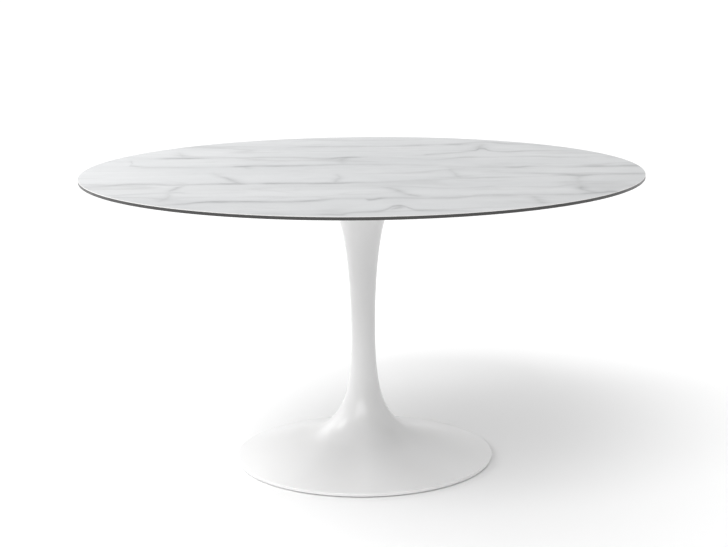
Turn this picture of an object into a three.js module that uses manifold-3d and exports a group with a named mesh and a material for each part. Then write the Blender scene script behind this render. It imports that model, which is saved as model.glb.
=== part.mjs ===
// Round pedestal table: a thin compact-laminate top on a trumpet-shaped cast pedestal.
// Millimetres, +Z up, origin on the floor in the middle of the base.
import * as THREE from "three";
import { mergeVertices } from "three/addons/utils/BufferGeometryUtils.js";
import Module from "manifold-3d";

const wasm = await Module();
wasm.setup();

// ---- Driving dimensions ----
const HEIGHT = 730; // floor to the top surface
const TOP_RADIUS = 685;
const FOOT_RADIUS = 322;
const WAIST_RADIUS = 50; // where the foot's sweep turns into the stem
const NECK_RADIUS = 30; // the stem's narrowest place
const HEAD_RADIUS = 101.5; // the stem's flared upper end
const WALL = 4; // the casting's wall

// The top's layers, from the surface down.
const FACE_THICKNESS = 1.2;
const CORE_THICKNESS = 10;
const BACKER_THICKNESS = 0.8;
const EDGE_LAND = 6.8; // upright part of the edge, above the bevel
const BEVEL_WIDTH = 24; // how far the bevel runs in under the edge

// The plate between top and pedestal.
const PLATE_THICKNESS = 5;
const PLATE_RADIUS = 205;
const HUB_RADIUS = 21;
const HUB_LENGTH = 25;
const SCREW_COUNT = 8;
const SCREW_CIRCLE = 185; // radius of the circle that the screws stand on

// The base.
const RIM_BOTTOM = 3; // the rim's shadow gap above the floor
const WEIGHT_BOTTOM = 9;
const WEIGHT_FLANGE = 8; // thickness of the weight's thin outer flange
const WEIGHT_RADIUS = 271.7;
const WEIGHT_TOP = 24;
const GLIDE_COUNT = 4;
const GLIDE_CIRCLE = 250;

const GAP = 0.3; // seating clearance between neighbours
const THREAD_GAP = 0.4; // clearance of a bore round a threaded shank

// ---- Heights that follow from them ----
const FACE_BOTTOM = HEIGHT - FACE_THICKNESS;
const CORE_BOTTOM = FACE_BOTTOM - CORE_THICKNESS;
const BACKER_BOTTOM = CORE_BOTTOM - BACKER_THICKNESS;
const PLATE_BOTTOM = BACKER_BOTTOM - PLATE_THICKNESS;
const HUB_BOTTOM = PLATE_BOTTOM - HUB_LENGTH;
const SEAT_HEIGHT = WEIGHT_BOTTOM + WEIGHT_FLANGE;

// Facets round one turn.
const TOP_FACETS = 96;
const BASE_FACETS = 64;
const ROD_FACETS = 20;
const SMALL_FACETS = 12;
const HEX = 6;

// ---- Materials ----
const finish = (color, roughness, metalness) => new THREE.MeshStandardMaterial({ color, roughness, metalness });
const MARBLE = finish(0xdcdee0, 0.35, 0);
const BLACK_CORE = finish(0x1c1c1e, 0.5, 0);
const BLACK_BACKER = finish(0x2a2a2c, 0.7, 0);
const WHITE_LACQUER = finish(0xf2f2f0, 0.25, 0);
const BLACK_POWDER = finish(0x202022, 0.6, 0.2);
const CAST_IRON = finish(0x3a3a3c, 0.75, 0.6);
const ZINC_STEEL = finish(0xb4b6ba, 0.35, 1);
const BRASS = finish(0xb08d4a, 0.35, 1);
const NYLON = finish(0x18181a, 0.6, 0);

const table = new THREE.Group();

function addPart(name, geometry, material) {
  const mesh = new THREE.Mesh(geometry, material);
  mesh.name = name;
  table.add(mesh);
  return mesh;
}

// ---- Turned shapes and boolean steps ----

// Turns an outline of [radius, height] points about the Z axis. An outline that does not
// start on the axis is closed on itself, as a ring.
function turned(outline, facets) {
  const points = outline.map(([radius, height]) => new THREE.Vector2(radius, height));
  if (points[0].x > 0) points.push(points[0].clone());
  return new THREE.LatheGeometry(points, facets).rotateX(Math.PI / 2);
}

const rod = (radius, bottom, top, facets) => turned(rodOutline(radius, bottom, top), facets);

function rodOutline(radius, bottom, top) {
  return [[0, bottom], [radius, bottom], [radius, top], [0, top]];
}

function washerOutline(inner, outer, bottom, top) {
  return [[inner, bottom], [outer, bottom], [outer, top], [inner, top]];
}

function solidOf(geometry) {
  const loose = geometry.index ? geometry.toNonIndexed() : geometry;
  const bare = new THREE.BufferGeometry().setAttribute("position", loose.getAttribute("position"));
  const merged = mergeVertices(bare, 1e-4);
  return new wasm.Manifold(new wasm.Mesh({
    numProp: 3,
    vertProperties: merged.attributes.position.array,
    triVerts: new Uint32Array(merged.index.array),
  }));
}

function geometryOf(solid) {
  const { vertProperties, triVerts } = solid.getMesh();
  const geometry = new THREE.BufferGeometry();
  geometry.setAttribute("position", new THREE.BufferAttribute(vertProperties, 3));
  geometry.setIndex(new THREE.BufferAttribute(triVerts, 1));
  return geometry;
}

function joined(...geometries) {
  return geometryOf(geometries.map(solidOf).reduce((all, next) => all.add(next)));
}

function cut(geometry, ...tools) {
  return geometryOf(tools.map(solidOf).reduce((rest, tool) => rest.subtract(tool), solidOf(geometry)));
}

// The places of a ring of repeated pieces, the first one half a step round from +X.
function ringPlaces(count, radius) {
  return Array.from({ length: count }, (_, i) => {
    const turn = ((i + 0.5) / count) * 2 * Math.PI;
    return new THREE.Vector3(radius * Math.cos(turn), radius * Math.sin(turn), 0);
  });
}

const movedTo = (geometry, place) => geometry.clone().translate(place.x, place.y, place.z);

// ---- The top: marble-look face, black core with a bevelled underside, backing sheet ----
const INSERT_HOLE_RADIUS = 5.8;
const INSERT_HOLE_TOP = CORE_BOTTOM + 8.2;

function makeTop() {
  const arris = 0.6;
  const bevelInner = TOP_RADIUS - BEVEL_WIDTH;
  const landBottom = FACE_BOTTOM - EDGE_LAND;
  const face = turned([
    [0, FACE_BOTTOM], [TOP_RADIUS, FACE_BOTTOM], [TOP_RADIUS, HEIGHT - arris],
    [TOP_RADIUS - arris, HEIGHT], [0, HEIGHT],
  ], TOP_FACETS);
  const core = turned([
    [0, CORE_BOTTOM], [bevelInner, CORE_BOTTOM], [TOP_RADIUS, landBottom],
    [TOP_RADIUS, FACE_BOTTOM], [0, FACE_BOTTOM],
  ], TOP_FACETS);
  const backer = rod(bevelInner, BACKER_BOTTOM, CORE_BOTTOM, TOP_FACETS);
  const hole = rod(INSERT_HOLE_RADIUS, BACKER_BOTTOM - 1, INSERT_HOLE_TOP, SMALL_FACETS);
  const holes = ringPlaces(SCREW_COUNT, SCREW_CIRCLE).map((place) => movedTo(hole, place));
  addPart("tabletop_face", face, MARBLE);
  addPart("tabletop_core", cut(core, ...holes), BLACK_CORE);
  addPart("tabletop_backer", cut(backer, ...holes), BLACK_BACKER);
}

// ---- Fasteners that hold the plate to the top: insert, screw and washer, M6 ----
const SCREW_RADIUS = 2.9;

function insertGeometry() {
  const bottom = BACKER_BOTTOM + GAP;
  const inner = SCREW_RADIUS + GAP;
  return turned(washerOutline(inner, INSERT_HOLE_RADIUS - GAP, bottom, INSERT_HOLE_TOP - GAP), SMALL_FACETS);
}

const PLATE_WASHER = { radius: 7, thickness: 1.2 };

function plateWasherGeometry() {
  const inner = SCREW_RADIUS + GAP;
  const bottom = PLATE_BOTTOM - PLATE_WASHER.thickness;
  return turned(washerOutline(inner, PLATE_WASHER.radius, bottom, PLATE_BOTTOM), SMALL_FACETS);
}

// A button-head screw: a low dome with a hexagon socket, and a plain shank.
function screwGeometry() {
  const headRadius = 5.4;
  const headHeight = 3.3;
  const socketAcrossFlats = 4;
  const socketDepth = 1.9;
  const headTop = PLATE_BOTTOM - PLATE_WASHER.thickness;
  const headBottom = headTop - headHeight;
  const shankTop = INSERT_HOLE_TOP - 2;
  const dome = new THREE.QuadraticBezierCurve(
    new THREE.Vector2(headRadius * 0.55, headBottom),
    new THREE.Vector2(headRadius, headBottom + 0.3),
    new THREE.Vector2(headRadius, headTop),
  ).getPoints(3).map((point) => [point.x, point.y]);
  const body = turned([
    [0, headBottom], ...dome, [SCREW_RADIUS, headTop], [SCREW_RADIUS, shankTop - 0.8],
    [SCREW_RADIUS - 0.8, shankTop], [0, shankTop],
  ], SMALL_FACETS);
  const socket = rod(socketAcrossFlats / Math.sqrt(3), headBottom - 1, headBottom + socketDepth, HEX);
  return cut(body, socket);
}

function addTopFasteners() {
  const insert = insertGeometry();
  const screw = screwGeometry();
  const washer = plateWasherGeometry();
  ringPlaces(SCREW_COUNT, SCREW_CIRCLE).forEach((place, i) => {
    addPart(`thread_insert_${i + 1}`, insert, BRASS).position.copy(place);
    addPart(`plate_screw_${i + 1}`, screw, ZINC_STEEL).position.copy(place);
    addPart(`plate_washer_${i + 1}`, washer, ZINC_STEEL).position.copy(place);
  });
}

// ---- The mounting plate: a disc with a threaded hub that the tie rod screws into ----
const ROD_RADIUS = 7.8;
const ROD_HOLE_RADIUS = ROD_RADIUS + THREAD_GAP;

function makeMountingPlate() {
  const chamfer = 1.5;
  const plate = turned([
    [0, HUB_BOTTOM], [HUB_RADIUS - chamfer, HUB_BOTTOM], [HUB_RADIUS, HUB_BOTTOM + chamfer],
    [HUB_RADIUS, PLATE_BOTTOM], [PLATE_RADIUS - chamfer, PLATE_BOTTOM],
    [PLATE_RADIUS, PLATE_BOTTOM + chamfer], [PLATE_RADIUS, BACKER_BOTTOM], [0, BACKER_BOTTOM],
  ], BASE_FACETS);
  const rodHole = rod(ROD_HOLE_RADIUS, HUB_BOTTOM - 1, PLATE_BOTTOM - 2, ROD_FACETS);
  const screwHole = rod(SCREW_RADIUS + 2 * GAP, PLATE_BOTTOM - 1, BACKER_BOTTOM + 1, SMALL_FACETS);
  const screwHoles = ringPlaces(SCREW_COUNT, SCREW_CIRCLE).map((place) => movedTo(screwHole, place));
  addPart("mounting_plate", cut(plate, rodHole, ...screwHoles), BLACK_POWDER);
}

// ---- The pedestal: one hollow casting, flared like a trumpet at both ends ----

// The foot is a straight cone between its rim and the start of its upward sweep.
const CONE_OUTER = { radius: FOOT_RADIUS - 3.5, height: RIM_BOTTOM + 8.7 };
const CONE_INNER = { radius: 200, height: 45.24 };
const CONE_SLOPE = (CONE_INNER.height - CONE_OUTER.height) / (CONE_OUTER.radius - CONE_INNER.radius);
const CONE_WALL = WALL * Math.hypot(1, CONE_SLOPE); // the wall, measured straight down
const coneHeight = (radius) => CONE_OUTER.height + CONE_SLOPE * (CONE_OUTER.radius - radius);

// The outer outline from the sweep's start up to the flared head, as four curves whose
// tangents run on into each other.
function sweepOutline() {
  const stepsPerCurve = 6;
  const waist = [WAIST_RADIUS, 149];
  const neck = [NECK_RADIUS, 325];
  const shoulder = [46, 560];
  const head = [HEAD_RADIUS, PLATE_BOTTOM];
  const path = new THREE.Path();
  path.moveTo(CONE_INNER.radius, CONE_INNER.height);
  path.bezierCurveTo(142, coneHeight(142), 83, 68, ...waist);
  path.bezierCurveTo(29.2, 200, NECK_RADIUS, 304, ...neck);
  path.bezierCurveTo(NECK_RADIUS, 377, 32, 480, ...shoulder);
  path.bezierCurveTo(55.6, 615, 71.5, 667, ...head);
  return path.getPoints(stepsPerCurve);
}

// An outline moved in by the wall's thickness.
function insetOutline(points, wall) {
  return points.map((point, i) => {
    const next = points[Math.min(i + 1, points.length - 1)];
    const along = next.clone().sub(points[Math.max(i - 1, 0)]).normalize();
    return [point.x - along.y * wall, point.y + along.x * wall];
  });
}

// The radius of a rising outline at a height, between the two points nearest to it.
function radiusAt(outline, height) {
  const above = outline.findIndex((point) => point[1] > height);
  const [lowRadius, lowHeight] = outline[above - 1];
  const [highRadius, highHeight] = outline[above];
  return lowRadius + ((highRadius - lowRadius) * (height - lowHeight)) / (highHeight - lowHeight);
}

// A closed web at the head takes the clamping force round the plate's hub, and a ring under
// the foot is the seat that the base weight is pulled up against.
function makePedestal() {
  const rimWidth = 16;
  const webThickness = 7;
  const hubClearance = 0.5;
  const seatClearance = 1.3;
  const seatWidth = 11;
  const webBottom = PLATE_BOTTOM - webThickness;
  const webInner = HUB_RADIUS + hubClearance;
  const seatOuter = WEIGHT_RADIUS + seatClearance;
  const seatInner = seatOuter - seatWidth;
  const rimInner = FOOT_RADIUS - rimWidth;
  const innerConeHeight = (radius) => coneHeight(radius) - CONE_WALL;
  const rim = [
    [rimInner, RIM_BOTTOM], [FOOT_RADIUS - 2.5, RIM_BOTTOM], [FOOT_RADIUS - 0.7, RIM_BOTTOM + 0.8],
    [FOOT_RADIUS, RIM_BOTTOM + 2.5], [FOOT_RADIUS, RIM_BOTTOM + 5.6],
    [FOOT_RADIUS - 1, RIM_BOTTOM + 7.7], [CONE_OUTER.radius, CONE_OUTER.height],
  ];
  const outer = sweepOutline();
  const innerWall = insetOutline(outer, WALL);
  const seat = [
    [seatInner, innerConeHeight(seatInner)], [seatInner, SEAT_HEIGHT], [seatOuter, SEAT_HEIGHT],
    [seatOuter, innerConeHeight(seatOuter)], [rimInner, innerConeHeight(rimInner)],
  ];
  const shell = turned([
    ...rim,
    ...outer.map((point) => [point.x, point.y]),
    [webInner, PLATE_BOTTOM], [webInner, webBottom], [radiusAt(innerWall, webBottom), webBottom],
    ...innerWall.filter((point) => point[1] < webBottom - 1).reverse(),
    ...seat,
  ], BASE_FACETS);
  addPart("pedestal_shell", shell, WHITE_LACQUER);
}

// ---- The base weight: a cast disc whose flange is pulled up against the shell's seat ----
const NUT_RECESS = { radius: 36, height: WEIGHT_BOTTOM + 6.3 };
const GLIDE_THREAD_RADIUS = 3.85;

function makeBaseWeight() {
  const chamfer = 1;
  const flangeInner = GLIDE_CIRCLE - 15;
  const plateauRadius = 218;
  const disc = turned([
    [ROD_HOLE_RADIUS, NUT_RECESS.height], [NUT_RECESS.radius, NUT_RECESS.height],
    [NUT_RECESS.radius, WEIGHT_BOTTOM], [WEIGHT_RADIUS - chamfer, WEIGHT_BOTTOM],
    [WEIGHT_RADIUS, WEIGHT_BOTTOM + chamfer], [WEIGHT_RADIUS, SEAT_HEIGHT], [flangeInner, SEAT_HEIGHT],
    [plateauRadius, WEIGHT_TOP], [ROD_HOLE_RADIUS, WEIGHT_TOP],
  ], BASE_FACETS);
  const hole = rod(GLIDE_THREAD_RADIUS + THREAD_GAP, WEIGHT_BOTTOM - 1, SEAT_HEIGHT + 1, SMALL_FACETS);
  const holes = ringPlaces(GLIDE_COUNT, GLIDE_CIRCLE).map((place) => movedTo(hole, place));
  addPart("base_weight", cut(disc, ...holes), CAST_IRON);
}

// ---- The tie rod that clamps plate, shell and weight together, with its nuts ----
const NUT_HEIGHT = 8;
const NUT_ACROSS_FLATS = 24;

function nutGeometry(bottom) {
  const corner = NUT_ACROSS_FLATS / Math.sqrt(3);
  const hole = rod(ROD_HOLE_RADIUS, bottom - 1, bottom + NUT_HEIGHT + 1, ROD_FACETS);
  return cut(rod(corner, bottom, bottom + NUT_HEIGHT, HEX), hole);
}

function makeTieRod() {
  const washerThickness = 3;
  const washerRadius = 17;
  const washerBottom = NUT_RECESS.height - washerThickness;
  const rodOverhang = 0.5;
  const rodBottom = washerBottom - NUT_HEIGHT - rodOverhang;
  const rodTop = PLATE_BOTTOM - 4;
  const washer = washerOutline(ROD_HOLE_RADIUS, washerRadius, washerBottom, NUT_RECESS.height);
  addPart("tie_rod", rod(ROD_RADIUS, rodBottom, rodTop, ROD_FACETS), ZINC_STEEL);
  addPart("hub_lock_nut", nutGeometry(HUB_BOTTOM - NUT_HEIGHT), ZINC_STEEL);
  addPart("base_washer", turned(washer, ROD_FACETS), ZINC_STEEL);
  addPart("base_nut", nutGeometry(washerBottom - NUT_HEIGHT), ZINC_STEEL);
}

// ---- Levelling glides: a nylon pad that does not turn, on a stud that screws in and out ----
const PAD_HEIGHT = 4.1;
const PAD_SOCKET_BOTTOM = 1.6;

// The pad's socket has a lip that keeps the stud's foot in it.
function glidePadGeometry() {
  const padRadius = 13;
  const soleRadius = padRadius - 1.5;
  const lipRadius = 4.5;
  const socketRadius = 5.6;
  return turned([
    [0, 0], [soleRadius, 0], [padRadius, 1.2], [padRadius, 2.6], [padRadius - 3, PAD_HEIGHT],
    [lipRadius, PAD_HEIGHT], [socketRadius, 3.4], [socketRadius, PAD_SOCKET_BOTTOM], [0, PAD_SOCKET_BOTTOM],
  ], ROD_FACETS);
}

function glideStudGeometry() {
  const collarBottom = PAD_HEIGHT + 2 * GAP;
  const collarTop = WEIGHT_BOTTOM - GAP;
  const collarAcrossFlats = 13;
  const studTop = SEAT_HEIGHT + 4.5;
  const footRadius = 5.2;
  const footBottom = PAD_SOCKET_BOTTOM + GAP;
  const footTop = 3.1;
  const neckRadius = 3.5;
  const chamfer = 0.8;
  const stud = turned([
    [0, footBottom], [footRadius, footBottom], [footRadius, footTop], [neckRadius, 3.8],
    [neckRadius, collarBottom],
    [GLIDE_THREAD_RADIUS, collarBottom + GAP], [GLIDE_THREAD_RADIUS, studTop - chamfer],
    [GLIDE_THREAD_RADIUS - chamfer, studTop], [0, studTop],
  ], SMALL_FACETS);
  const collar = rod(collarAcrossFlats / Math.sqrt(3), collarBottom, collarTop, HEX);
  return joined(stud, collar);
}

function addGlides() {
  const pad = glidePadGeometry();
  const stud = glideStudGeometry();
  ringPlaces(GLIDE_COUNT, GLIDE_CIRCLE).forEach((place, i) => {
    addPart(`glide_pad_${i + 1}`, pad, NYLON).position.copy(place);
    addPart(`glide_stud_${i + 1}`, stud, ZINC_STEEL).position.copy(place);
  });
}

makeTop();
addTopFasteners();
makeMountingPlate();
makePedestal();
makeBaseWeight();
makeTieRod();
addGlides();

export default table;
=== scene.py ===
"""Round pedestal table: looks. Everything is in metres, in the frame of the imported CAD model."""

import math

import bmesh
import bpy
from mathutils import Matrix, Vector


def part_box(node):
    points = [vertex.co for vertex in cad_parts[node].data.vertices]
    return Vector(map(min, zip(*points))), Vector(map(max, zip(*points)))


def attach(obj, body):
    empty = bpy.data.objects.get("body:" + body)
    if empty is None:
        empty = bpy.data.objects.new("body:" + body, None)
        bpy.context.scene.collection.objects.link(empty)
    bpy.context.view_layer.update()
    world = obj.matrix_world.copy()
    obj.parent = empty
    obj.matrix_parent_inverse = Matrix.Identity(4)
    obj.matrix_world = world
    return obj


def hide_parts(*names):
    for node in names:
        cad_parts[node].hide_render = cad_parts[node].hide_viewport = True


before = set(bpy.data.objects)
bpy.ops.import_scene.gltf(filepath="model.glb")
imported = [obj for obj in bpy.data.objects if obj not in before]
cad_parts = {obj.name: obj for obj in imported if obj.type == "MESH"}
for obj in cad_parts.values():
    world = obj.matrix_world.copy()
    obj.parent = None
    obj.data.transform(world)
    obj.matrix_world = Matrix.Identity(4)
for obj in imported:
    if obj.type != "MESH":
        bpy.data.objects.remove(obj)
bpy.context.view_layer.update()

MM = 0.001
TURN = 2 * math.pi


# ---- Sizes read from the frame ----

def low(node):
    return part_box(node)[0].z


def high(node):
    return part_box(node)[1].z


def radius_of(node):
    lowest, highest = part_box(node)
    return (highest.x - lowest.x) / 2


def centre_of(node):
    lowest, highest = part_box(node)
    middle = (lowest + highest) / 2
    return Vector((middle.x, middle.y, 0))


TOP_RADIUS = radius_of("tabletop_face")
BACKER_RADIUS = radius_of("tabletop_backer")
PLATE_RADIUS = radius_of("mounting_plate")
FOOT_RADIUS = radius_of("pedestal_shell")
WEIGHT_RADIUS = radius_of("base_weight")
ROD_RADIUS = radius_of("tie_rod")

SURFACE = high("tabletop_face")
FACE_BOTTOM = low("tabletop_face")
CORE_BOTTOM = low("tabletop_core")
BACKER_BOTTOM = low("tabletop_backer")
PLATE_BOTTOM = high("pedestal_shell")
HUB_BOTTOM = low("mounting_plate")
RIM_BOTTOM = low("pedestal_shell")
WEIGHT_BOTTOM = low("base_weight")
WEIGHT_TOP = high("base_weight")

SCREWS = [f"plate_screw_{i}" for i in range(1, 9)]
PLATE_WASHERS = [f"plate_washer_{i}" for i in range(1, 9)]
INSERTS = [f"thread_insert_{i}" for i in range(1, 9)]
PADS = [f"glide_pad_{i}" for i in range(1, 5)]
STUDS = [f"glide_stud_{i}" for i in range(1, 5)]


# ---- Camera, floor and light ----

CAMERA_DISTANCE = 3.90
CAMERA_HEIGHT = 1.272
CAMERA_PITCH = math.radians(11.6)
CAMERA_ROLL = math.radians(-0.55)
CAMERA_AIM_LEFT = math.radians(-0.05)
LENS_MM = 79.4
SENSOR_MM = 36


def make_camera():
    data = bpy.data.cameras.new("camera")
    data.lens = LENS_MM
    data.sensor_width = SENSOR_MM
    data.clip_end = 200
    camera = bpy.data.objects.new("camera", data)
    aim = Matrix.Rotation(CAMERA_AIM_LEFT, 4, "Z")
    tilt = Matrix.Rotation(math.radians(90) - CAMERA_PITCH, 4, "X")
    roll = Matrix.Rotation(CAMERA_ROLL, 4, "Z")
    camera.matrix_world = Matrix.Translation((0, -CAMERA_DISTANCE, CAMERA_HEIGHT)) @ aim @ tilt @ roll
    bpy.context.collection.objects.link(camera)
    bpy.context.scene.camera = camera


def make_floor():
    half = 60
    corners = [(-half, -half, 0), (half, -half, 0), (half, half, 0), (-half, half, 0)]
    mesh = bpy.data.meshes.new("floor")
    mesh.from_pydata(corners, [], [(0, 1, 2, 3)])
    floor = bpy.data.objects.new("floor", mesh)
    bpy.context.collection.objects.link(floor)
    material = bpy.data.materials.new("floor")
    material.use_nodes = True
    shader = material.node_tree.nodes["Principled BSDF"]
    shader.inputs["Base Color"].default_value = (0.93, 0.93, 0.93, 1)
    shader.inputs["Roughness"].default_value = 0.9
    mesh.materials.append(material)


def make_area_light(name, place, aim, size, watts):
    data = bpy.data.lights.new(name, "AREA")
    data.shape = "RECTANGLE"
    data.size, data.size_y = size
    data.energy = watts
    light = bpy.data.objects.new(name, data)
    light.location = place
    light.rotation_mode = "QUATERNION"
    light.rotation_quaternion = (Vector(aim) - Vector(place)).to_track_quat("-Z", "Y")
    bpy.context.collection.objects.link(light)


def make_world():
    """A white studio, darker at the front, behind the camera, and most of all at the front right."""
    world = bpy.data.worlds.new("studio")
    world.use_nodes = True
    tree = world.node_tree
    direction = tree.nodes.new("ShaderNodeTexCoord").outputs["Generated"]
    facing = tree.nodes.new("ShaderNodeVectorMath")
    facing.operation = "DOT_PRODUCT"
    facing.inputs[1].default_value = Vector((0.3, -0.95, 0.0)).normalized()
    strength = tree.nodes.new("ShaderNodeMapRange")
    strength.interpolation_type = "SMOOTHSTEP"
    strength.inputs["From Min"].default_value = -0.1
    strength.inputs["From Max"].default_value = 0.9
    strength.inputs["To Min"].default_value = 0.90
    strength.inputs["To Max"].default_value = 0.36
    tree.links.new(direction, facing.inputs[0])
    tree.links.new(facing.outputs["Value"], strength.inputs["Value"])
    tree.links.new(strength.outputs[0], tree.nodes["Background"].inputs["Strength"])
    tree.nodes["Background"].inputs["Color"].default_value = (1, 1, 1, 1)
    bpy.context.scene.world = world


def make_sun(name, elevation, azimuth, softness, strength):
    """A very soft overall light. The azimuth is counted from +X towards +Y."""
    data = bpy.data.lights.new(name, "SUN")
    data.energy = strength
    data.angle = softness
    light = bpy.data.objects.new(name, data)
    place = Matrix.Rotation(azimuth, 4, "Z") @ Matrix.Rotation(-elevation, 4, "Y") @ Vector((1, 0, 0))
    light.rotation_mode = "QUATERNION"
    light.rotation_quaternion = place.to_track_quat("Z", "Y")
    bpy.context.collection.objects.link(light)


def make_lights():
    make_world()
    make_sun("wide_front_left", math.radians(45), math.radians(250), math.radians(50), 1.9)
    make_area_light("panel_back_left", (-2.6, 2.3, 1.6), (-0.4, 0, 0.73), (3.0, 1.6), 22)
    make_area_light("panel_over_left", (-1.6, 0.3, 1.9), (-0.5, 0, 0.73), (1.0, 1.0), 21)
    bpy.context.scene.view_settings.view_transform = "Standard"


# ---- Outlines: lists of (radius, height) ----

def rounded(points, steps=5):
    """An outline with its corners rounded. Each point is (radius, height, fillet radius)."""
    outline = []
    for i, (x, y, fillet) in enumerate(points):
        corner = Vector((x, y))
        if fillet <= 0:
            outline.append(corner)
            continue
        before = Vector(points[i - 1][:2]) - corner
        after = Vector(points[(i + 1) % len(points)][:2]) - corner
        reach = min(fillet / math.tan(before.angle(after) / 2), before.length * 0.49, after.length * 0.49)
        start = corner + before.normalized() * reach
        end = corner + after.normalized() * reach
        for step in range(steps + 1):
            t = step / steps
            outline.append((1 - t) ** 2 * start + 2 * t * (1 - t) * corner + t ** 2 * end)
    return [(point.x, point.y) for point in outline]


def bezier(points, steps):
    """The points of a cubic curve after its first one."""
    a, b, c, d = (Vector(point) for point in points)
    curve = []
    for step in range(1, steps + 1):
        t = step / steps
        point = (1 - t) ** 3 * a + 3 * t * (1 - t) ** 2 * b + 3 * t ** 2 * (1 - t) * c + t ** 3 * d
        curve.append((point.x, point.y))
    return curve


def inset(outline, wall):
    """The outline moved in by the wall's thickness."""
    moved = []
    for i, point in enumerate(outline):
        along = Vector(outline[min(i + 1, len(outline) - 1)]) - Vector(outline[max(i - 1, 0)])
        along.normalize()
        moved.append((point[0] - along.y * wall, point[1] + along.x * wall))
    return moved


def hexagon(angle, across_flats):
    """Radius of a hexagon at an angle."""
    sixth = TURN / 6
    return across_flats / 2 / math.cos((angle + sixth / 2) % sixth - sixth / 2)


def thread(angle, radius, pitch, bottom, top):
    """Outline of a right-hand V thread between two heights, running out at both ends."""
    depth = 0.61 * pitch
    rows_per_turn = 8
    rows = round((top - bottom) / pitch * rows_per_turn)
    outline = []
    for row in range(rows + 1):
        height = bottom + (top - bottom) * row / rows
        phase = (height / pitch - angle / TURN) % 1
        # A V in the middle of each turn, flat at its root and at the crest between turns.
        groove = min(1, max(0, 1.25 - abs(phase - 0.5) * 4))
        run_out = min(1, (height - bottom) / pitch, (top - height) / pitch)
        outline.append((radius - depth * groove * run_out, height))
    return outline


# ---- Meshes ----

def new_piece(name, mesh):
    piece = bpy.data.objects.new(name, mesh)
    bpy.context.collection.objects.link(piece)
    return piece


def revolved(name, outline_at, segments):
    """Turns an outline about the Z axis.

    outline_at(angle) gives the outline at that angle, always with the same number of points. An outline
    that starts and ends on the axis is closed there by single points, and any other as a ring.
    """
    angles = [TURN * i / segments for i in range(segments)]
    columns = [outline_at(angle) for angle in angles]
    on_axis = columns[0][0][0] == 0 and columns[0][-1][0] == 0
    ends = (columns[0][0][1], columns[0][-1][1])
    if on_axis:
        columns = [column[1:-1] for column in columns]
    rows = len(columns[0])
    vertices = []
    for angle, column in zip(angles, columns):
        across, along = math.cos(angle), math.sin(angle)
        vertices += [(radius * across, radius * along, height) for radius, height in column]
    faces = []
    for i in range(segments):
        here, there = i * rows, (i + 1) % segments * rows
        for j in range(rows - 1 if on_axis else rows):
            k = (j + 1) % rows
            faces.append((here + j, there + j, there + k, here + k))
        if on_axis:
            faces.append((len(vertices), there, here))
            faces.append((len(vertices) + 1, here + rows - 1, there + rows - 1))
    if on_axis:
        vertices += [(0, 0, height) for height in ends]
    mesh = bpy.data.meshes.new(name)
    mesh.from_pydata(vertices, [], faces)
    return new_piece(name, mesh)


def lathe(name, outline, segments):
    return revolved(name, lambda angle: outline, segments)


def drill(piece, places, radius, bottom, top, chamfer=0.0):
    """Cuts an upright round hole at each place, with a chamfer at its lower mouth."""
    start = bottom - 1 * MM
    outline = [
        (0, start), (radius + chamfer + 1 * MM, start), (radius, bottom + chamfer), (radius, top), (0, top),
    ]
    drill_bit = lathe("drill_bit", outline, 48)
    bits = bmesh.new()
    for place in places:
        bits.from_mesh(drill_bit.data)
        bmesh.ops.translate(bits, vec=place, verts=bits.verts[-len(drill_bit.data.vertices):])
    bits.to_mesh(drill_bit.data)
    bits.free()
    cut = piece.modifiers.new("holes", "BOOLEAN")
    cut.operation = "DIFFERENCE"
    cut.solver = "EXACT"
    cut.object = drill_bit
    bpy.context.view_layer.objects.active = piece
    bpy.ops.object.modifier_apply(modifier=cut.name)
    bpy.data.objects.remove(drill_bit)


def smooth(piece, angle=32):
    piece.data.shade_smooth()
    piece.data.set_sharp_from_angle(angle=math.radians(angle))
    normals = piece.modifiers.new("normals", "WEIGHTED_NORMAL")
    normals.keep_sharp = True
    return piece


def finished(piece, body, material, slot, *nodes):
    """Gives a piece its material, and says what it rides on and which CAD nodes it stands for."""
    piece.data.materials.clear()
    piece.data.materials.append(material)
    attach(piece, body)
    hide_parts(*nodes)


def repeated(piece, nodes, bodies, material, slot):
    """Stands a copy of a piece, made on the Z axis, at each CAD node's place."""
    for node, body in zip(nodes, bodies):
        copy = piece.copy()
        copy.name = "fine_" + node
        copy.location = centre_of(node)
        bpy.context.collection.objects.link(copy)
        finished(copy, body, material, slot, node)
    bpy.data.objects.remove(piece)


# ---- Materials ----

# The colour sockets of Blender's Mix node, which has others of the same names for plain numbers.
MIX_COLOUR_A = 6
MIX_COLOUR_B = 7
MIX_COLOUR_RESULT = 2


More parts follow.
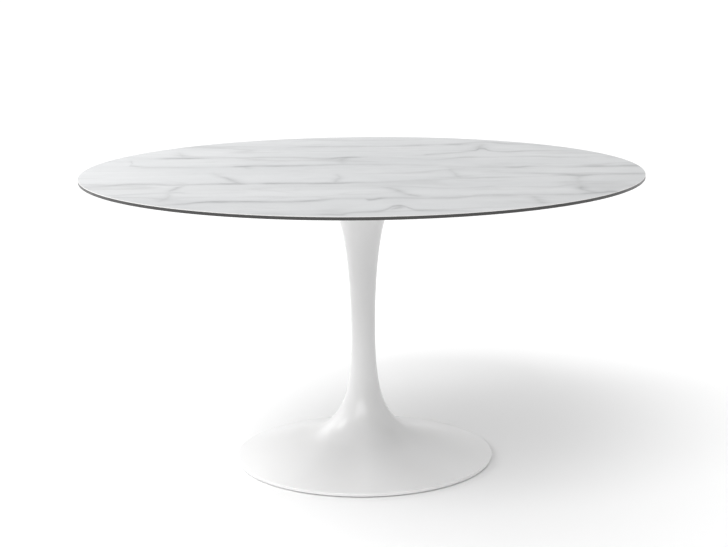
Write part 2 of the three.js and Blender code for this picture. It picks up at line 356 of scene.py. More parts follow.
class Finish:
    """Builds one procedural material round its Principled shader, in the piece's own metres."""

    def __init__(self, name, roughness, metallic=0.0, coat=0.0, coat_roughness=0.1):
        self.material = bpy.data.materials.new(name)
        self.material.use_nodes = True
        self.tree = self.material.node_tree
        self.shader = self.tree.nodes["Principled BSDF"]
        self.shader.inputs["Roughness"].default_value = roughness
        self.shader.inputs["Metallic"].default_value = metallic
        self.shader.inputs["Coat Weight"].default_value = coat
        self.shader.inputs["Coat Roughness"].default_value = coat_roughness
        self.place = self.node("ShaderNodeTexCoord").outputs["Object"]

    def node(self, kind, inputs=None, **settings):
        made = self.tree.nodes.new(kind)
        for name, value in settings.items():
            setattr(made, name, value)
        for socket, value in (inputs or {}).items():
            self.feed(made.inputs[socket], value)
        return made

    def feed(self, socket, value):
        if isinstance(value, bpy.types.NodeSocket):
            self.tree.links.new(value, socket)
        else:
            socket.default_value = value

    def math(self, operation, *values):
        return self.node("ShaderNodeMath", dict(enumerate(values)), operation=operation).outputs[0]

    def vector(self, operation, *values):
        made = self.node("ShaderNodeVectorMath", dict(enumerate(values)), operation=operation)
        return made.outputs["Value" if operation == "LENGTH" else "Vector"]

    def ranged(self, value, start, end, to_start=0.0, to_end=1.0, kind="SMOOTHSTEP"):
        inputs = {"Value": value, "From Min": start, "From Max": end, "To Min": to_start, "To Max": to_end}
        return self.node("ShaderNodeMapRange", inputs, interpolation_type=kind).outputs[0]

    def stretched(self, stretch, offset=(0, 0, 0)):
        inputs = {"Vector": self.place, "Scale": stretch, "Location": offset}
        return self.node("ShaderNodeMapping", inputs).outputs[0]

    def noise(self, scale, detail=3.0, roughness=0.5, at=None):
        inputs = {"Vector": at or self.place, "Scale": scale, "Detail": detail, "Roughness": roughness}
        return self.node("ShaderNodeTexNoise", inputs).outputs["Fac"]

    def blend(self, factor, a, b):
        mix = self.node("ShaderNodeMix", {0: factor}, data_type="RGBA")
        self.feed(mix.inputs[MIX_COLOUR_A], a)
        self.feed(mix.inputs[MIX_COLOUR_B], b)
        return mix.outputs[MIX_COLOUR_RESULT]

    def bump(self, height, distance, strength=1.0, normal=None):
        inputs = {"Height": height, "Distance": distance, "Strength": strength}
        if normal:
            inputs["Normal"] = normal
        return self.node("ShaderNodeBump", inputs).outputs[0]

    def use(self, colour=None, roughness=None, normal=None):
        for socket, value in (("Base Color", colour), ("Roughness", roughness), ("Normal", normal)):
            if value is not None:
                self.feed(self.shader.inputs[socket], value)
        return self.material


def grey(value, warmth=0.0):
    return (value * (1 + warmth), value, value * (1 - warmth), 1)


# Veins of the marble-look decor, laid over the disc. Each is a stroke of (along, across, darkness)
# in metres from the middle: strokes along X first, then strokes along Y, each with its half width.
VEINS_ALONG_X = [
    (0.009, [(-0.47, -0.535, 0.1), (-0.41, -0.515, 0.35), (-0.385, -0.505, 0.7), (-0.345, -0.483, 0.9),
        (-0.255, -0.477, 0.9), (-0.155, -0.485, 0.9), (-0.085, -0.465, 0.7), (-0.05, -0.443, 0.35),
        (0, -0.445, 0.3), (0.015, -0.463, 1), (0.045, -0.447, 0.8), (0.075, -0.445, 0.5),
        (0.145, -0.455, 0.6), (0.215, -0.445, 0.6), (0.26, -0.42, 0.7), (0.315, -0.42, 0.6),
        (0.375, -0.415, 0.45), (0.465, -0.415, 0.5), (0.515, -0.4, 1), (0.57, -0.38, 0.4)]),
    (0.008, [(-0.3, -0.66, 0.15), (-0.2, -0.635, 0.2), (-0.12, -0.655, 0.15), (-0.045, -0.66, 0.8),
        (-0.015, -0.63, 0.5), (0.035, -0.615, 0.7), (0.08, -0.55, 0.9), (0.115, -0.612, 0.8),
        (0.185, -0.62, 0.6), (0.24, -0.632, 0.25)]),
    (0.009, [(-0.66, -0.235, 0.2), (-0.595, -0.228, 0.45), (-0.545, -0.2, 0.55), (-0.485, -0.205, 0.5),
        (-0.415, -0.225, 0.4), (-0.335, -0.21, 0.6), (-0.285, -0.21, 0.95), (-0.25, -0.212, 0.3),
        (-0.215, -0.215, 0.8), (-0.145, -0.215, 0.8), (-0.085, -0.22, 1), (-0.005, -0.215, 0.45),
        (0.06, -0.205, 0.25), (0.14, -0.17, 0.15), (0.215, -0.145, 0.4), (0.25, -0.147, 0.45),
        (0.305, -0.145, 0.4), (0.37, -0.155, 0.1)]),
    (0.01, [(-0.62, 0.275, 0.15), (-0.54, 0.245, 0.25), (-0.455, 0.255, 0.9), (-0.4, 0.255, 0.4),
        (-0.34, 0.25, 0.2), (-0.27, 0.255, 0.5), (-0.155, 0.245, 0.6), (-0.085, 0.22, 0.65),
        (-0.035, 0.24, 0.9), (0.005, 0.245, 0.35), (0.07, 0.235, 0.15), (0.14, 0.2, 0.15),
        (0.195, 0.185, 0.3), (0.225, 0.2, 0.5), (0.275, 0.225, 0.6), (0.31, 0.22, 0.3),
        (0.4, 0.22, 0.25), (0.455, 0.225, 0.4), (0.5, 0.21, 0.45), (0.58, 0.205, 0.2)]),
    (0.01, [(-0.592, 0.2, 0.2), (-0.578, 0.12, 0.5), (-0.545, 0.088, 0.5), (-0.48, 0.075, 0.4),
        (-0.4, 0.07, 0.2), (-0.33, 0.08, 0.3), (-0.29, 0.085, 1), (-0.255, 0.09, 0.5),
        (-0.215, 0.085, 0.7), (-0.145, 0.09, 0.6), (-0.045, 0.105, 0.5), (0.055, 0.095, 0.45),
        (0.135, 0.085, 0.3), (0.22, 0.055, 0.2), (0.3, 0.03, 0.3), (0.35, 0.03, 0.6), (0.372, 0.025, 1),
        (0.41, 0.035, 0.6), (0.455, 0.035, 0.4), (0.52, 0.02, 0.35), (0.57, 0.025, 0.8),
        (0.68, 0.035, 0.9)]),
    (0.01, [(-0.46, 0.44, 0.1), (-0.34, 0.46, 0.2), (-0.24, 0.455, 0.15), (-0.14, 0.47, 0.6),
        (-0.095, 0.475, 0.7), (-0.005, 0.475, 0.6), (0.075, 0.47, 0.5), (0.15, 0.48, 0.6),
        (0.2, 0.485, 0.3), (0.26, 0.487, 0.8), (0.29, 0.51, 0.5), (0.345, 0.54, 0.5),
        (0.395, 0.51, 0.7), (0.445, 0.48, 0.5), (0.5, 0.455, 0.2)]),
    (0.009, [(0.12, 0.255, 0.15), (0.16, 0.272, 0.3), (0.185, 0.285, 0.7), (0.235, 0.31, 0.7),
        (0.285, 0.345, 0.6), (0.305, 0.365, 0.8), (0.32, 0.4, 1), (0.335, 0.36, 0.8), (0.36, 0.33, 0.5),
        (0.385, 0.325, 0.7), (0.445, 0.335, 0.7), (0.52, 0.33, 0.3), (0.6, 0.31, 0.1)]),
    (0.009, [(0.3, -0.06, 0.1), (0.38, -0.08, 0.25), (0.43, -0.09, 0.5), (0.475, -0.105, 0.55),
        (0.525, -0.125, 1), (0.555, -0.115, 0.6), (0.595, -0.11, 0.7), (0.675, -0.105, 0.8)]),
    (0.008, [(-0.16, 0.63, 0.15), (-0.05, 0.6, 0.3), (0.06, 0.605, 0.25), (0.16, 0.585, 0.15)]),
    (0.007, [(-0.56, -0.37, 0.2), (-0.49, -0.355, 0.35), (-0.43, -0.34, 0.4), (-0.36, -0.36, 0.2),
        (-0.26, -0.35, 0.1)]),
    (0.007, [(0.02, -0.3, 0.1), (0.09, -0.285, 0.3), (0.18, -0.31, 0.2), (0.3, -0.29, 0.25),
        (0.42, -0.305, 0.35), (0.5, -0.27, 0.3), (0.6, -0.255, 0.15)]),
]
VEINS_ALONG_Y = [
    (0.009, [(-0.62, 0.055, 0.1), (-0.6, 0.06, 0.5), (-0.575, 0.078, 1), (-0.545, 0.08, 0.6)]),
    (0.009, [(-0.22, -0.275, 0.9), (-0.175, -0.29, 0.8), (-0.115, -0.315, 0.7), (-0.06, -0.345, 0.25),
        (0, -0.36, 0.1)]),
    (0.006, [(-0.22, -0.062, 0.6), (-0.12, -0.05, 0.5), (-0.06, -0.058, 0.15)]),
    (0.009, [(0.25, -0.455, 0.5), (0.31, -0.465, 0.4), (0.38, -0.485, 0.15)]),
    (0.009, [(0.11, -0.045, 0.15), (0.18, -0.045, 0.5), (0.235, -0.035, 0.8)]),
    (0.009, [(0.03, -0.27, 0.1), (0.06, -0.285, 0.6), (0.09, -0.29, 0.7)]),
    (0.009, [(0.39, 0.315, 0.6), (0.405, 0.318, 0.9), (0.44, 0.322, 0.6), (0.5, 0.335, 0.2)]),
    (0.009, [(-0.4, 0.51, 0.4), (-0.335, 0.495, 1), (-0.26, 0.5, 0.35), (-0.2, 0.505, 0.35),
        (-0.125, 0.52, 0.7)]),
    (0.006, [(-0.15, 0.23, 0.5), (-0.075, 0.22, 0.45), (0, 0.222, 0.3), (0.06, 0.21, 0.1)]),
    (0.009, [(-0.43, 0.118, 0.5), (-0.41, 0.11, 0.7), (-0.375, 0.09, 0.6), (-0.33, 0.075, 0.8),
        (-0.28, 0.055, 0.2)]),
    (0.006, [(-0.47, -0.435, 0.2), (-0.4, -0.425, 0.5), (-0.33, -0.43, 0.35), (-0.285, -0.425, 0.8),
        (-0.22, -0.41, 0.3)]),
    (0.009, [(-0.54, 0.39, 0.3), (-0.51, 0.385, 0.6), (-0.48, 0.38, 0.6), (-0.43, 0.37, 0.2)]),
]


def vein_mask(finish, along, across, half_width, stroke):
    """How dark one vein is: full on its line, falling off to a faint halo several widths away."""
    fade = 12 * MM
    first, last = stroke[0], stroke[-1]
    stroke = [(first[0] - fade, first[1], 0), *stroke, (last[0] + fade, last[1], 0)]
    start, end = stroke[0][0], stroke[-1][0]
    position = finish.ranged(along, start, end, kind="LINEAR")
    line = finish.node("ShaderNodeFloatCurve", {"Value": position})
    darkness = finish.node("ShaderNodeFloatCurve", {"Value": position})
    for curve_node, column in ((line, 1), (darkness, 2)):
        curve_node.mapping.use_clip = False
        points = curve_node.mapping.curves[0].points
        for _ in stroke[2:]:
            points.new(0.5, 0)
        for point, entry in zip(points, stroke):
            point.location = ((entry[0] - start) / (end - start), entry[column])
            point.handle_type = "AUTO_CLAMPED"
        curve_node.mapping.update()
    offset = finish.math("ABSOLUTE", finish.math("SUBTRACT", across, line.outputs[0]))
    falloff = finish.ranged(offset, 0, 6 * half_width, 1, 0, kind="LINEAR")
    return finish.math("MULTIPLY", finish.math("POWER", falloff, 4.0), darkness.outputs[0])


def displaced(finish, at, scale, detail, amount):
    """A position shaken by noise."""
    inputs = {"Vector": at, "Scale": scale, "Detail": detail, "Roughness": 0.55}
    wander = finish.node("ShaderNodeTexNoise", inputs).outputs["Color"]
    shake = finish.vector("SUBTRACT", wander, (0.5, 0.5, 0.5))
    return finish.vector("MULTIPLY_ADD", shake, (amount, amount, amount), at)


def thread_mask(finish, at, scale, width, offset, amount):
    """A net of fine unbroken lines drawn out along X, present in patches."""
    drawn_out = finish.vector("MULTIPLY_ADD", at, (0.38, 1.5, 1), offset)
    ridge = finish.math("ABSOLUTE", finish.math("SUBTRACT", finish.noise(scale, 1, 0.5, drawn_out), 0.5))
    line = finish.ranged(ridge, 0, width, 1, 0)
    spread = finish.noise(scale * 0.8, 1, 0.5, finish.stretched((0.6, 1, 1), offset))
    patches = finish.ranged(spread, 0.42, 0.6)
    return finish.math("MULTIPLY", finish.math("MULTIPLY", line, patches), amount)


def marble_decor():
    finish = Finish("marble_decor", roughness=0.34)
    # The strokes' coordinates, shaken a little so that the veins wander and vary in width.
    moved = displaced(finish, displaced(finish, finish.place, 5, 2, 0.035), 24, 4, 0.02)
    axes = finish.node("ShaderNodeSeparateXYZ", {0: moved})
    x, y = axes.outputs[0], axes.outputs[1]
    masks = [vein_mask(finish, x, y, *vein) for vein in VEINS_ALONG_X]
    masks += [finish.math("MULTIPLY", vein_mask(finish, y, x, *vein), 0.8) for vein in VEINS_ALONG_Y]
    main = masks[0]
    for mask in masks[1:]:
        main = finish.math("MAXIMUM", main, mask)
    # The veins' grain: they break up and thicken along their length.
    grain = finish.noise(26, 5, 0.65, finish.stretched((0.4, 1, 1)))
    main = finish.math("MULTIPLY", main, finish.ranged(grain, 0.3, 0.7, 0.65, 1.2))
    threads = finish.math(
        "MAXIMUM",
        thread_mask(finish, moved, 4.2, 0.035, (1.7, 0.4, 0), 0.30),
        thread_mask(finish, moved, 9.0, 0.045, (0.2, 3.1, 0), 0.16),
    )
    # Cloudy ground, with streaks drawn out along X.
    clouds = finish.ranged(finish.noise(2.6, 5, 0.6, finish.stretched((0.45, 1.4, 1))), 0.3, 0.7)
    drawn_out = finish.stretched((0.12, 1.3, 1), (0, 5, 0))
    streaks = finish.ranged(finish.noise(14, 4, 0.6, drawn_out), 0.35, 0.75)
    ground = finish.blend(clouds, grey(0.412, -0.019), grey(0.477, -0.013))
    ground = finish.blend(finish.math("MULTIPLY", streaks, 0.35), ground, grey(0.375, -0.014))
    ground = finish.blend(threads, ground, grey(0.21, -0.005))
    colour = finish.blend(finish.math("MULTIPLY", main, 0.92), ground, grey(0.17, -0.03))
    # The sheet's cut edge is plain and pale.
    radius = finish.vector("LENGTH", finish.vector("MULTIPLY", finish.place, (1, 1, 0)))
    cut_edge = finish.ranged(radius, TOP_RADIUS - 0.7 * MM, TOP_RADIUS - 0.2 * MM)
    colour = finish.blend(cut_edge, colour, grey(0.72, 0.01))
    smudge = finish.noise(9, 4, 0.6)
    texture = finish.noise(900, 2, 0.5)
    return finish.use(
        colour=colour,
        roughness=finish.ranged(smudge, 0.25, 0.75, 0.30, 0.38),
        normal=finish.bump(texture, 0.00002, 0.35),
    )


def phenolic(name, value, roughness, grain_scale):
    """Black board: satin, with the fine horizontal lines of its pressed paper layers."""
    finish = Finish(name, roughness=roughness)
    layers = finish.noise(grain_scale, 4, 0.65, finish.stretched((1, 1, 4200 / grain_scale)))
    mottle = finish.noise(60, 4, 0.6)
    tone = finish.ranged(layers, 0.25, 0.75)
    return finish.use(
        colour=finish.blend(tone, grey(value * 0.8, 0.02), grey(value * 1.2, 0.02)),
        roughness=finish.ranged(mottle, 0.3, 0.7, roughness - 0.05, roughness + 0.06),
        normal=finish.bump(layers, 0.00004, 0.35),
    )


def white_lacquer():
    """Sprayed gloss lacquer over a casting: a trace of orange peel, and a very slight change of tone."""
    finish = Finish("white_lacquer", roughness=0.32, coat=0.3, coat_roughness=0.12)
    tone = finish.ranged(finish.noise(4, 3, 0.5), 0.3, 0.7)
    colour = finish.blend(tone, grey(0.795, 0.003), grey(0.825, 0.001))
    height = finish.node("ShaderNodeSeparateXYZ", {0: finish.place}).outputs[2]
    scuffs = finish.ranged(finish.noise(130, 4, 0.7, finish.stretched((1, 1, 0.4))), 0.62, 0.75)
    near_floor = finish.ranged(height, RIM_BOTTOM, RIM_BOTTOM + 9 * MM, 1, 0)
    wear = finish.math("MULTIPLY", finish.math("MULTIPLY", scuffs, near_floor), 0.2)
    colour = finish.blend(wear, colour, grey(0.45, 0.02))
    peel = finish.bump(finish.noise(260, 2, 0.5), 0.00006, 0.25)
    flow = finish.bump(finish.noise(22, 2, 0.5), 0.0004, 0.12, peel)
    return finish.use(
        colour=colour,
        roughness=finish.ranged(finish.noise(16, 3, 0.5), 0.3, 0.7, 0.30, 0.36),
        normal=flow,
    )


def powder_coat():
    finish = Finish("black_powder_coat", roughness=0.6)
    pebbles = finish.noise(900, 2, 0.5)
    tone = finish.noise(25, 3, 0.5)
    return finish.use(
        colour=finish.blend(tone, grey(0.018), grey(0.028)),
        roughness=finish.ranged(pebbles, 0.3, 0.7, 0.5, 0.7),
        normal=finish.bump(pebbles, 0.0001, 0.6),
    )


def cast_iron():
    finish = Finish("cast_iron", roughness=0.75, metallic=0.4)
    sand = finish.noise(420, 5, 0.65)
    lumps = finish.noise(35, 3, 0.5)
    rust = finish.ranged(finish.noise(18, 5, 0.65), 0.6, 0.75)
    colour = finish.blend(sand, grey(0.045, 0.03), grey(0.085, 0.02))
    colour = finish.blend(finish.math("MULTIPLY", rust, 0.35), colour, (0.13, 0.07, 0.045, 1))
    rough = finish.bump(sand, 0.0004, 0.8)
    return finish.use(
        colour=colour,
        roughness=finish.ranged(sand, 0.3, 0.7, 0.62, 0.85),
        normal=finish.bump(lumps, 0.001, 0.4, rough),
    )


def zinc_steel():
    """Zinc-plated steel: crystalline patches and fine tool marks."""
    finish = Finish("zinc_steel", roughness=0.35, metallic=1.0)
    crystals = {"Vector": finish.place, "Scale": 900.0}
    spangle = finish.node("ShaderNodeTexVoronoi", crystals).outputs["Distance"]
    marks = finish.noise(300, 3, 0.6, finish.stretched((1, 1, 12)))
    colour = finish.blend(spangle, grey(0.50, -0.02), grey(0.66, 0.01))
    return finish.use(
        colour=colour,
        roughness=finish.ranged(marks, 0.3, 0.7, 0.26, 0.44),
        normal=finish.bump(marks, 0.00003, 0.5),
    )


def brass():
    finish = Finish("brass", roughness=0.3, metallic=1.0)
    tarnish = finish.ranged(finish.noise(240, 4, 0.6), 0.35, 0.7)
    marks = finish.noise(500, 3, 0.6, finish.stretched((1, 1, 10)))
    return finish.use(
        colour=finish.blend(tarnish, (0.74, 0.56, 0.27, 1), (0.50, 0.34, 0.15, 1)),
        roughness=finish.ranged(marks, 0.3, 0.7, 0.24, 0.42),
        normal=finish.bump(marks, 0.00003, 0.5),
    )


def nylon():
    finish = Finish("black_nylon", roughness=0.5)
    grain = finish.noise(1600, 2, 0.5)
    scuffs = finish.ranged(finish.noise(180, 5, 0.7), 0.55, 0.72)
    return finish.use(
        colour=finish.blend(finish.math("MULTIPLY", scuffs, 0.5), grey(0.022), grey(0.075)),
        roughness=finish.ranged(grain, 0.3, 0.7, 0.42, 0.6),
        normal=finish.bump(grain, 0.00004, 0.6),
    )


# ---- The top ----

EDGE_LAND = 6.8 * MM
INSERT_RADIUS = 5.8 * MM
INSERT_HOLE_TOP = CORE_BOTTOM + 8.2 * MM
TOP_SEGMENTS = 384


def make_top():
    insert_places = [centre_of(node) for node in INSERTS]
    arris = 0.5 * MM
    face = lathe("fine_tabletop_face", rounded([
        (0, FACE_BOTTOM, 0), (TOP_RADIUS - 0.1 * MM, FACE_BOTTOM, 0.1 * MM),
        (TOP_RADIUS - 0.1 * MM, SURFACE, arris), (TOP_RADIUS - 6 * MM, SURFACE, 0),
        (TOP_RADIUS * 0.5, SURFACE, 0), (0, SURFACE, 0),
    ]), TOP_SEGMENTS)
    finished(smooth(face), "table", marble_decor(), "marble_laminate", "tabletop_face")

    black = phenolic("black_core", 0.04, 0.37, 30)
    core = lathe("fine_tabletop_core", rounded([
        (0, CORE_BOTTOM, 0), (BACKER_RADIUS - 8 * MM, CORE_BOTTOM, 0), (BACKER_RADIUS, CORE_BOTTOM, 3 * MM),
        (TOP_RADIUS, FACE_BOTTOM - EDGE_LAND, 0.8 * MM), (TOP_RADIUS, FACE_BOTTOM, 0.25 * MM),
        (TOP_RADIUS - 6 * MM, FACE_BOTTOM, 0), (0, FACE_BOTTOM, 0),
    ]), TOP_SEGMENTS)
    drill(core, insert_places, INSERT_RADIUS, CORE_BOTTOM, INSERT_HOLE_TOP)
    finished(smooth(core), "table", black, "black_core", "tabletop_core")

    backer = lathe("fine_tabletop_backer", rounded([
        (0, BACKER_BOTTOM, 0), (BACKER_RADIUS - 3 * MM, BACKER_BOTTOM, 0),
        (BACKER_RADIUS, BACKER_BOTTOM, 0.25 * MM), (BACKER_RADIUS, CORE_BOTTOM, 0.05 * MM),
        (0, CORE_BOTTOM, 0),
    ]), TOP_SEGMENTS)
    drill(backer, insert_places, INSERT_RADIUS, BACKER_BOTTOM, CORE_BOTTOM + 1 * MM)
    backing = phenolic("black_backing", 0.035, 0.5, 220)
    finished(smooth(backer), "table", backing, "black_backing", "tabletop_backer")


# ---- The mounting plate and its screws ----

SCREW_RADIUS = 2.9 * MM
WASHER_RADIUS = radius_of("plate_washer_1")
WASHER_BOTTOM = low("plate_washer_1")
HUB_RADIUS = 21 * MM
ROD_HOLE_RADIUS = ROD_RADIUS + 0.4 * MM


def make_mounting_plate():
    outer_fillet = 1.4 * MM
    plate = lathe("fine_mounting_plate", rounded([
        (ROD_HOLE_RADIUS, HUB_BOTTOM, 1 * MM), (HUB_RADIUS, HUB_BOTTOM, 1.5 * MM),
        (HUB_RADIUS, PLATE_BOTTOM - 5 * MM, 0), (HUB_RADIUS, PLATE_BOTTOM, 0), (120 * MM, PLATE_BOTTOM, 0),
        (PLATE_RADIUS - 5 * MM, PLATE_BOTTOM, 0), (PLATE_RADIUS, PLATE_BOTTOM, outer_fillet),
        (PLATE_RADIUS, BACKER_BOTTOM, 0.3 * MM), (0, BACKER_BOTTOM, 0), (0, PLATE_BOTTOM - 2 * MM, 0),
        (ROD_HOLE_RADIUS, PLATE_BOTTOM - 2 * MM, 0),
    ]), 192)
    screw_places = [centre_of(node) for node in SCREWS]
    drill(plate, screw_places, 3.5 * MM, PLATE_BOTTOM, BACKER_BOTTOM + 1 * MM, 0.4 * MM)
    finished(smooth(plate), "table", powder_coat(), "black_powder_coat", "mounting_plate")


def screw_outline(angle):
    """A button head with a hexagon socket, below a threaded shank."""
    head_radius = 5.35 * MM
    head_bottom = low("plate_screw_1")
    socket = hexagon(angle, 4 * MM)
    socket_floor = head_bottom + 1.9 * MM
    dome = bezier([(3.1 * MM, head_bottom), (4.2 * MM, head_bottom), (head_radius, head_bottom + 1.2 * MM),
                   (head_radius, WASHER_BOTTOM - 0.4 * MM)], 8)
    tip = high("plate_screw_1")
    return [
        (0, socket_floor + 0.5 * MM), (socket, socket_floor), (socket, head_bottom + 0.25 * MM),
        (socket + 0.2 * MM, head_bottom), (3.1 * MM, head_bottom), *dome,
        (head_radius - 0.1 * MM, WASHER_BOTTOM - 0.1 * MM), (head_radius - 0.3 * MM, WASHER_BOTTOM),
        (SCREW_RADIUS, WASHER_BOTTOM),
        *thread(angle, SCREW_RADIUS, 1 * MM, WASHER_BOTTOM + 1 * MM, tip - 1 * MM),
        (SCREW_RADIUS - 0.8 * MM, tip), (0, tip),
    ]


def ring_outline(inner, outer, bottom, top, edge):
    return rounded([(inner, bottom, edge), (outer, bottom, edge), (outer, top, edge), (inner, top, edge)], 4)


def make_plate_fasteners(steel):
    in_table = ["table"] * len(SCREWS)
    screw = smooth(revolved("screw", screw_outline, 72), 28)
    repeated(screw, SCREWS, in_table, steel, "zinc_steel")
    faces = WASHER_BOTTOM, high("plate_washer_1")
    washer_outline = ring_outline(SCREW_RADIUS + 0.3 * MM, WASHER_RADIUS, *faces, 0.25 * MM)
    repeated(smooth(lathe("washer", washer_outline, 48)), PLATE_WASHERS, in_table, steel, "zinc_steel")
    insert = revolved("insert", insert_outline, 72)
    repeated(smooth(insert, 28), INSERTS, in_table, brass(), "brass")


def insert_outline(angle):
    """A brass bush: ribbed outside to grip the board, with a smooth bore."""
    bottom, top = low("thread_insert_1"), high("thread_insert_1")
    inner, outer = SCREW_RADIUS + 0.3 * MM, INSERT_RADIUS - 0.35 * MM
    rib = 0.25 * MM * (0.5 + 0.5 * math.cos(angle * 18))
    shaped = [(bottom + 0.6 * MM, 0), (bottom + 1.2 * MM, rib), (top - 1.2 * MM, rib), (top - 0.6 * MM, 0)]
    return [(inner, bottom), (outer, bottom), *[(outer - cut, height) for height, cut in shaped],
            (outer, top - 0.2 * MM), (outer - 0.2 * MM, top), (inner, top)]


# ---- The pedestal ----

WALL = 4 * MM
NECK_RADIUS = 30 * MM
NECK_HEIGHT = 325 * MM
WAIST = (50 * MM, 149 * MM)
SHOULDER = (46 * MM, 560 * MM)
HEAD_RADIUS = 101.5 * MM
CONE_OUTER = (FOOT_RADIUS - 3.5 * MM, RIM_BOTTOM + 8.7 * MM)
CONE_INNER = (200 * MM, 45.24 * MM)


def cone_height(radius, wall=0.0):
    """Height of the foot's straight cone, or of its inner face when a wall is given."""
    slope = (CONE_INNER[1] - CONE_OUTER[1]) / (CONE_OUTER[0] - CONE_INNER[0])
    return CONE_OUTER[1] + slope * (CONE_OUTER[0] - radius) - wall * math.hypot(1, slope)


def sweep_outline(steps=24):
    """The outer outline from the sweep's start to the flared head: four curves that run on smoothly."""
    neck = (NECK_RADIUS, NECK_HEIGHT)
    head = (HEAD_RADIUS, PLATE_BOTTOM)
    foot_handle = 142 * MM
    curves = [
        [CONE_INNER, (foot_handle, cone_height(foot_handle)), (83 * MM, 68 * MM), WAIST],
        [WAIST, (29.2 * MM, 200 * MM), (NECK_RADIUS, 304 * MM), neck],
        [neck, (NECK_RADIUS, 377 * MM), (32 * MM, 480 * MM), SHOULDER],
        [SHOULDER, (55.6 * MM, 615 * MM), (71.5 * MM, 667 * MM), head],
    ]
    outline = [CONE_INNER]
    for curve in curves:
        outline += bezier(curve, steps)
    return outline


def make_pedestal():
    hub_hole = HUB_RADIUS + 0.5 * MM
    web_bottom = PLATE_BOTTOM - 7 * MM
    seat_height = WEIGHT_BOTTOM + 8 * MM
    seat_outer = WEIGHT_RADIUS + 1.3 * MM
    seat_inner = seat_outer - 11 * MM
    rim_inner = FOOT_RADIUS - 16 * MM
    rim_shoulder = FOOT_RADIUS - 9 * MM
    cone_rings = range(310, 200, -8)
    cone = [(radius * MM, cone_height(radius * MM)) for radius in cone_rings]
    sweep = sweep_outline()
    inner_wall = [point for point in inset(sweep, WALL) if point[1] < web_bottom - WALL]
    rim = rounded([
        (rim_inner, RIM_BOTTOM, 0.8 * MM), (FOOT_RADIUS - 2 * MM, RIM_BOTTOM, 1 * MM),
        (FOOT_RADIUS, RIM_BOTTOM + 7.7 * MM, 1.6 * MM), (rim_shoulder, cone_height(rim_shoulder), 0),
    ], 8)
    head = rounded([
        (HEAD_RADIUS - 0.7 * MM, PLATE_BOTTOM - 1 * MM, 0), (HEAD_RADIUS, PLATE_BOTTOM, 0.5 * MM),
        (HEAD_RADIUS - 4 * MM, PLATE_BOTTOM, 0),
    ])
    inside = rounded([
        (hub_hole, PLATE_BOTTOM, 0.4 * MM), (hub_hole, web_bottom, 0.6 * MM),
        (inner_wall[-1][0] + 2 * MM, web_bottom, 2 * MM),
        *[(radius, height, 0) for radius, height in reversed(inner_wall)],
        (seat_inner, cone_height(seat_inner, WALL), 0.8 * MM), (seat_inner, seat_height, 0.6 * MM),
        (seat_outer, seat_height, 0.6 * MM), (seat_outer, cone_height(seat_outer, WALL), 0.8 * MM),
        (rim_inner, cone_height(rim_inner, WALL), 1.5 * MM),
    ], 4)
    shell = lathe("fine_pedestal", rim + cone + sweep[:-1] + head + inside, 256)
    finished(smooth(shell, 40), "table", white_lacquer(), "white_lacquer", "pedestal_shell")


# ---- The base: weight, tie rod, nuts and glides ----

def make_base_weight():
    recess_radius, recess_height = 36 * MM, high("base_washer")
    flange_top = WEIGHT_BOTTOM + 8 * MM
    glide_places = [centre_of(node) for node in STUDS]
    glide_circle = glide_places[0].length
    weight = lathe("fine_base_weight", rounded([
        (ROD_HOLE_RADIUS, recess_height, 0.6 * MM), (recess_radius, recess_height, 2 * MM),
        (recess_radius, WEIGHT_BOTTOM, 1.5 * MM), (120 * MM, WEIGHT_BOTTOM, 0),
        (WEIGHT_RADIUS, WEIGHT_BOTTOM, 1.2 * MM), (WEIGHT_RADIUS, flange_top, 0.5 * MM),
        (glide_circle - 15 * MM, flange_top, 3 * MM),
        (218 * MM, WEIGHT_TOP, 3 * MM), (ROD_HOLE_RADIUS, WEIGHT_TOP, 0.6 * MM),
    ]), 192)
    drill(weight, glide_places, 4.25 * MM, WEIGHT_BOTTOM, flange_top + 1 * MM, 0.6 * MM)
    finished(smooth(weight), "table", cast_iron(), "cast_iron", "base_weight")


def nut_outline(angle, bottom, top, across_flats, bore):
    """A hexagon nut with its corners turned down by 30 degrees at both faces."""
    corner = hexagon(angle, across_flats)
    shoulder = across_flats / 2 * 0.94
    drop = (corner - shoulder) * math.tan(math.radians(30))
    lip = 0.7 * MM
    return [(bore, bottom + lip), (bore + lip, bottom), (shoulder, bottom), (corner, bottom + drop),
            (corner, top - drop), (shoulder, top), (bore + lip, top), (bore, top - lip)]


def make_tie_rod(steel):
    bottom, top = low("tie_rod"), high("tie_rod")
    lower_thread, upper_thread, pitch, tip = 55 * MM, 60 * MM, 2 * MM, 1.5 * MM

    def rod_outline(angle):
        return [
            (0, bottom), (ROD_RADIUS - tip, bottom),
            *thread(angle, ROD_RADIUS, pitch, bottom + tip, bottom + lower_thread),
            *thread(angle, ROD_RADIUS, pitch, top - upper_thread, top - tip),
            (ROD_RADIUS - tip, top), (0, top),
        ]

    finished(smooth(revolved("fine_tie_rod", rod_outline, 48), 28), "table", steel, "zinc_steel", "tie_rod")
    for node in ("hub_lock_nut", "base_nut"):
        faces = low(node), high(node)
        nut = revolved("fine_" + node, lambda angle: nut_outline(angle, *faces, 24 * MM, ROD_HOLE_RADIUS), 96)
        finished(smooth(nut, 25), "table", steel, "zinc_steel", node)
    washer_faces = low("base_washer"), high("base_washer")
    outline = ring_outline(ROD_HOLE_RADIUS, radius_of("base_washer"), *washer_faces, 0.5 * MM)
    finished(smooth(lathe("fine_base_washer", outline, 72)), "table", steel, "zinc_steel", "base_washer")


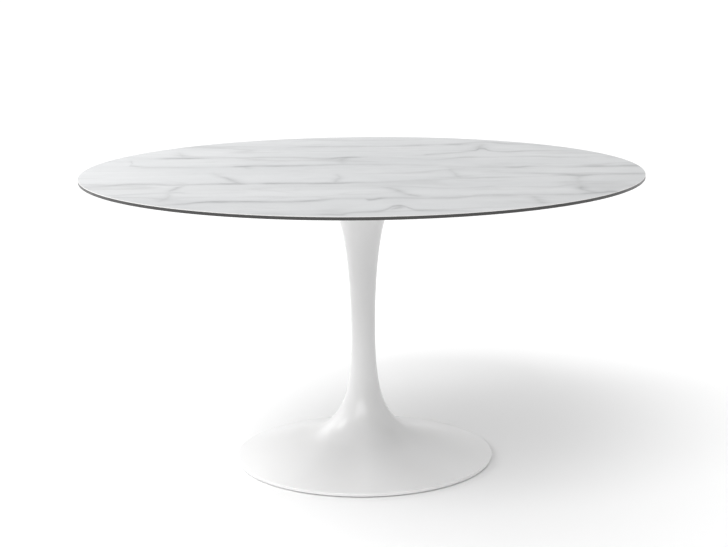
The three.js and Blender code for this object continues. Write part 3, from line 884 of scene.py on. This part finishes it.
def pad_outline(angle):
    """A round nylon foot with fluted sides, a flat sole with a shallow groove, and a socket with a lip."""
    top = high("glide_pad_1")
    flute = 0.35 * MM * (0.5 + 0.5 * math.cos(angle * 24))
    side = radius_of("glide_pad_1")
    return [
        (0, 0), (6 * MM, 0), (6.3 * MM, 0.4 * MM), (7.2 * MM, 0.4 * MM), (7.5 * MM, 0), (11.3 * MM, 0),
        (12.1 * MM, 0.3 * MM), (side - 0.2 * MM - flute, 1.2 * MM), (side - flute, 1.5 * MM),
        (side - flute, 2.3 * MM), (side - 0.3 * MM - flute, 2.7 * MM), (10.3 * MM, top - 0.15 * MM),
        (9.9 * MM, top), (4.8 * MM, top), (4.5 * MM, top - 0.2 * MM), (5.6 * MM, 3.3 * MM),
        (5.6 * MM, 1.9 * MM), (5.2 * MM, 1.6 * MM), (0, 1.6 * MM),
    ]


def stud_outline(angle):
    """A foot held in the pad, a neck, a hexagon collar and a threaded end."""
    collar_bottom, collar_top = high("glide_pad_1") + 0.6 * MM, WEIGHT_BOTTOM - 0.3 * MM
    radius, pitch, tip, top = 3.85 * MM, 1.25 * MM, 0.8 * MM, high("glide_stud_1")
    # Of the nut's outline the collar has only the outside, without the bore.
    collar = nut_outline(angle, collar_bottom, collar_top, 13 * MM, radius)[2:6]
    return [
        (0, 1.9 * MM), (4.9 * MM, 1.9 * MM), (5.2 * MM, 2.2 * MM), (5.2 * MM, 2.9 * MM), (4.9 * MM, 3.2 * MM),
        (3.5 * MM, 3.7 * MM), (3.5 * MM, collar_bottom), *collar,
        (radius - 0.3 * MM, collar_top), *thread(angle, radius, pitch, collar_top + 0.3 * MM, top - tip),
        (radius - tip, top), (0, top),
    ]


def make_glides(steel):
    pad = smooth(revolved("pad", pad_outline, 144), 35)
    repeated(pad, PADS, [f"glide_foot_{i}" for i in range(1, 5)], nylon(), "black_nylon")
    stud = smooth(revolved("stud", stud_outline, 72), 28)
    repeated(stud, STUDS, [f"glide_screw_{i}" for i in range(1, 5)], steel, "zinc_steel")


make_camera()
make_floor()
make_lights()
make_top()
make_mounting_plate()
steel_finish = zinc_steel()
make_plate_fasteners(steel_finish)
make_pedestal()
make_base_weight()
make_tie_rod(steel_finish)
make_glides(steel_finish)
